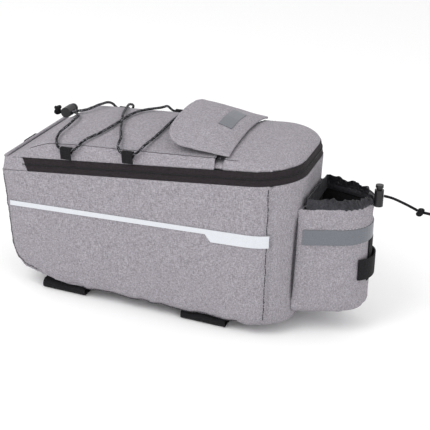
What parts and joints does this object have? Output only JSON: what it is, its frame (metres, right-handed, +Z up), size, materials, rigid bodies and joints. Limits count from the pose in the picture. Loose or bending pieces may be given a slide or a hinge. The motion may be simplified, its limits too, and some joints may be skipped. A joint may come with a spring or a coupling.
{
  "type": "bicycle trunk bag",
  "caption": "Wedge-shaped padded rack bag with a zipped lid, a top pocket under a raised flap, a laced elastic cord and a rear bottle pouch.",
  "frame": {"origin": "bottom centre of the bag without its loose draw cord, on the surface that it rests on", "axes": "+X towards the rear and its bottle pouch, +Y towards the far side, +Z up"},
  "size_m": [0.5152, 0.186, 0.2407],
  "materials": {
    "cloth": "melange weave, matt",
    "cloth_dark": "melange weave, matt",
    "zip_tape": "woven tape with moulded teeth",
    "webbing": "ribbed webbing",
    "cord": "braided elastic cord with light flecks",
    "reflective_white": "white reflective film",
    "reflective_grey": "grey reflective film",
    "nylon": "thin gathered nylon",
    "plastic": "moulded"
  },
  "bodies": {
    "bag": {"side_panel_near": "cloth", "side_panel_far": "cloth", "rear_panel": "cloth", "front_hinge": "cloth", "top_pocket": "cloth", "lid": "cloth", "pocket_flap": "cloth", "bottle_pouch": "cloth", "front_and_bottom_panel": "cloth_dark", "pouch_piping_near": "cloth_dark", "pouch_piping_far": "cloth_dark", "zip_tape_lower": "zip_tape", "zip_tape_upper": "zip_tape", "zip_pull": "webbing", "cord_loop_front_near": "webbing", "cord_loop_rear_near": "webbing", "cord_loop_front_far": "webbing", "cord_loop_rear_far": "webbing", "front_loop": "webbing", "strap_loop_front": "webbing", "strap_loop_rear": "webbing", "light_strip": "webbing", "light_loop": "webbing", "lacing_cord": "cord", "lacing_cord_knot": "cord", "draw_cord": "cord", "draw_cord_tail": "cord", "draw_cord_knot": "cord", "stripe_near": "reflective_white", "stripe_far": "reflective_white", "flap_patch": "reflective_grey", "pouch_band": "reflective_grey", "pouch_collar": "nylon", "zip_slider": "plastic", "front_lock": "plastic", "pouch_lock": "plastic"},
    "front_button": {"front_lock_button": "plastic"},
    "pouch_button": {"pouch_lock_button": "plastic"}
  },
  "joints": [
    {"name": "front_lock_press", "type": "slide", "parent": "bag", "child": "front_button", "axis": [0, -1, 0], "range_m": [0, 0.0026], "stiffness_N_per_m": 600},
    {"name": "pouch_lock_press", "type": "slide", "parent": "bag", "child": "pouch_button", "axis": [0.0558, 0, -0.9984], "range_m": [0, 0.0026], "stiffness_N_per_m": 600}
  ]
}
